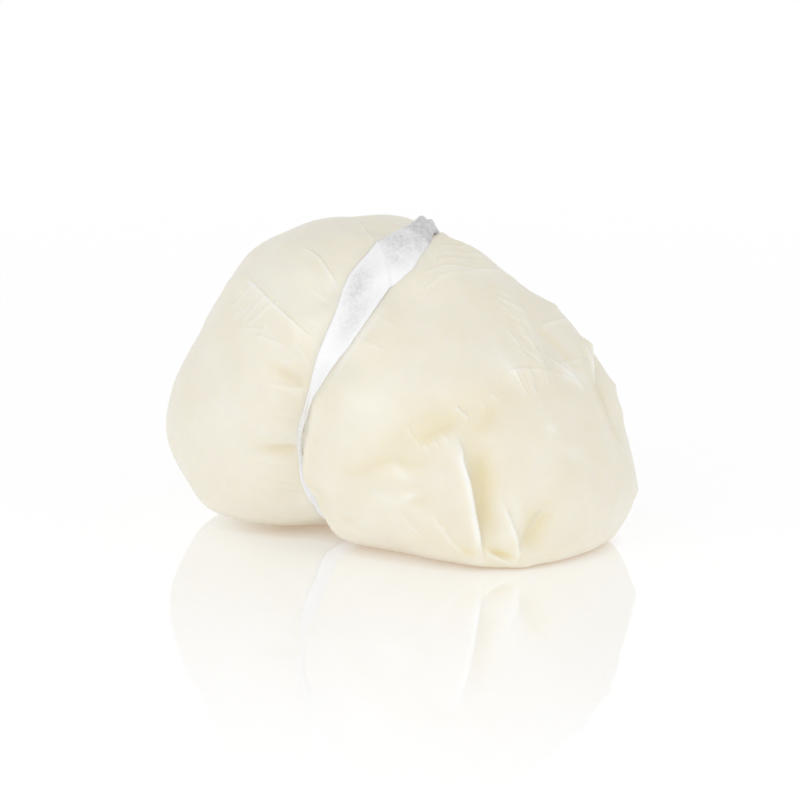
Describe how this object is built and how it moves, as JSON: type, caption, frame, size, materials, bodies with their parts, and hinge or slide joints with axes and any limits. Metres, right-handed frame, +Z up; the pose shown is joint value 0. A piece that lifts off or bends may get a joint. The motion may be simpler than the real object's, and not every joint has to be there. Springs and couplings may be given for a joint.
{
  "type": "scamorza cheese",
  "caption": "Pear-like stretched-curd cheese of two lobes, lying on its side, tied round the waist with a flat ribbon.",
  "frame": {"origin": "centre of the bounding box's bottom face, on the surface that the cheese lies on", "axes": "+Z up, +X along the length from the small lobe to the large lobe, -Y towards the side that faces the viewer"},
  "size_m": [0.1138, 0.075, 0.0749],
  "materials": {
    "cheese": "pale cream cheese, moist and softly glossy, a little yellower in its folds",
    "ribbon": "white satin tape, slightly translucent"
  },
  "bodies": {
    "root": {"cheese": "cheese", "ribbon": "ribbon"}
  },
  "joints": []
}
